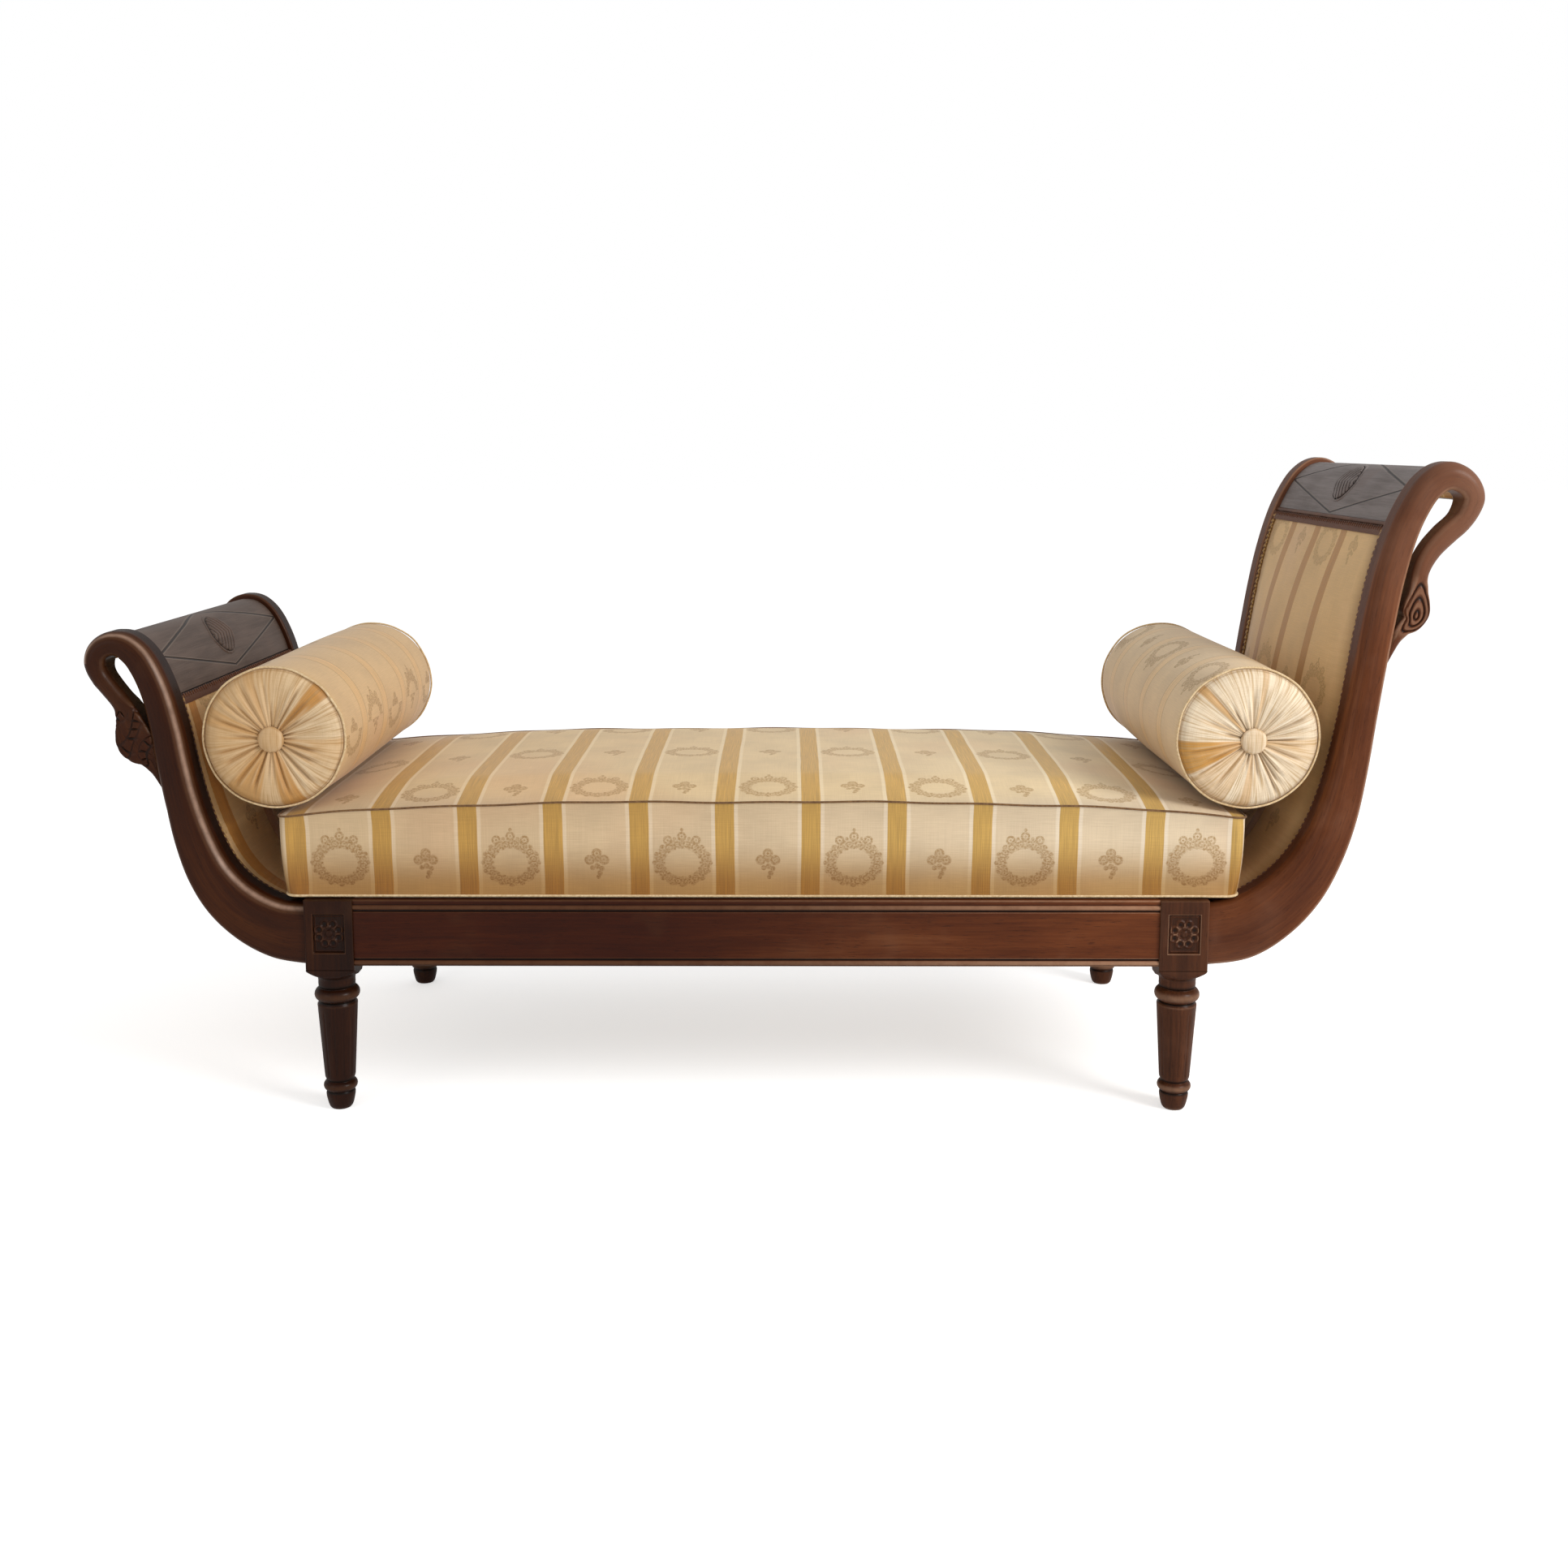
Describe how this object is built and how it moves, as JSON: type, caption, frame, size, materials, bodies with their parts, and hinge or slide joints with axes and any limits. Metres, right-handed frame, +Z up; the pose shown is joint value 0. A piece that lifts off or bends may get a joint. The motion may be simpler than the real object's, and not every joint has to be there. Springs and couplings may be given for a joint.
{
  "type": "recamier",
  "caption": "Backless scroll-end daybed: swan-neck scrolled arms of unequal height, fluted turned legs, loose box cushion and two round bolsters in striped silk.",
  "frame": {"origin": "middle of the overall plan at floor level, under the feet", "axes": "+X along the seat towards the higher head end, +Y from the front to the rear, +Z up"},
  "size_m": [1.9589, 0.64, 0.9453],
  "materials": {
    "mahogany": "aged waxed mahogany, satin, worn edges",
    "crest_wood": "weathered grey-brown, matt",
    "inner_wood": "raw beech, matt",
    "screw_steel": "dull steel",
    "striped_silk": "cream silk lampas with gold stripes, soft sheen",
    "trim": "woven gimp and silk piping",
    "webbing": "jute webbing, matt",
    "deck_linen": "plain linen, matt"
  },
  "bodies": {
    "frame": {"leg_front_foot": "mahogany", "leg_front_head": "mahogany", "leg_rear_foot": "mahogany", "leg_rear_head": "mahogany", "seat_rail_front": "mahogany", "seat_rail_rear": "mahogany", "end_rail_foot": "mahogany", "end_rail_head": "mahogany", "bearer_foot": "inner_wood", "bearer_middle": "inner_wood", "bearer_head": "inner_wood", "brace_front_foot": "inner_wood", "brace_front_head": "inner_wood", "brace_rear_foot": "inner_wood", "brace_rear_head": "inner_wood", "brace_screws": "screw_steel", "scroll_dowels": "inner_wood", "stile_front_foot": "mahogany", "stile_rear_foot": "mahogany", "stile_front_head": "mahogany", "stile_rear_head": "mahogany", "swan_front_foot": "mahogany", "swan_rear_foot": "mahogany", "swan_front_head": "mahogany", "swan_rear_head": "mahogany", "crest_foot": "crest_wood", "crest_head": "crest_wood", "end_slats_foot": "inner_wood", "end_slats_head": "inner_wood", "back_panel_foot": "striped_silk", "back_panel_head": "striped_silk", "end_pad_foot": "striped_silk", "end_pad_head": "striped_silk", "gimp_foot": "trim", "gimp_head": "trim", "webbing_cross": "webbing", "webbing_long": "webbing", "deck": "deck_linen"},
    "cushion": {"seat_cushion": "striped_silk", "cushion_piping_top": "trim", "cushion_piping_bottom": "trim"},
    "bolster_foot": {"foot_bolster": "striped_silk", "foot_bolster_piping": "trim", "foot_bolster_buttons": "striped_silk"},
    "bolster_head": {"head_bolster": "striped_silk", "head_bolster_piping": "trim", "head_bolster_buttons": "striped_silk"}
  },
  "joints": [
    {"name": "cushion_lift", "type": "slide", "parent": "frame", "child": "cushion", "axis": [0, 0, 1], "range_m": [0, 0.3]},
    {"name": "foot_bolster_lift", "type": "slide", "parent": "cushion", "child": "bolster_foot", "axis": [0, 0, 1], "range_m": [0, 0.3]},
    {"name": "head_bolster_lift", "type": "slide", "parent": "cushion", "child": "bolster_head", "axis": [0, 0, 1], "range_m": [0, 0.3]}
  ]
}
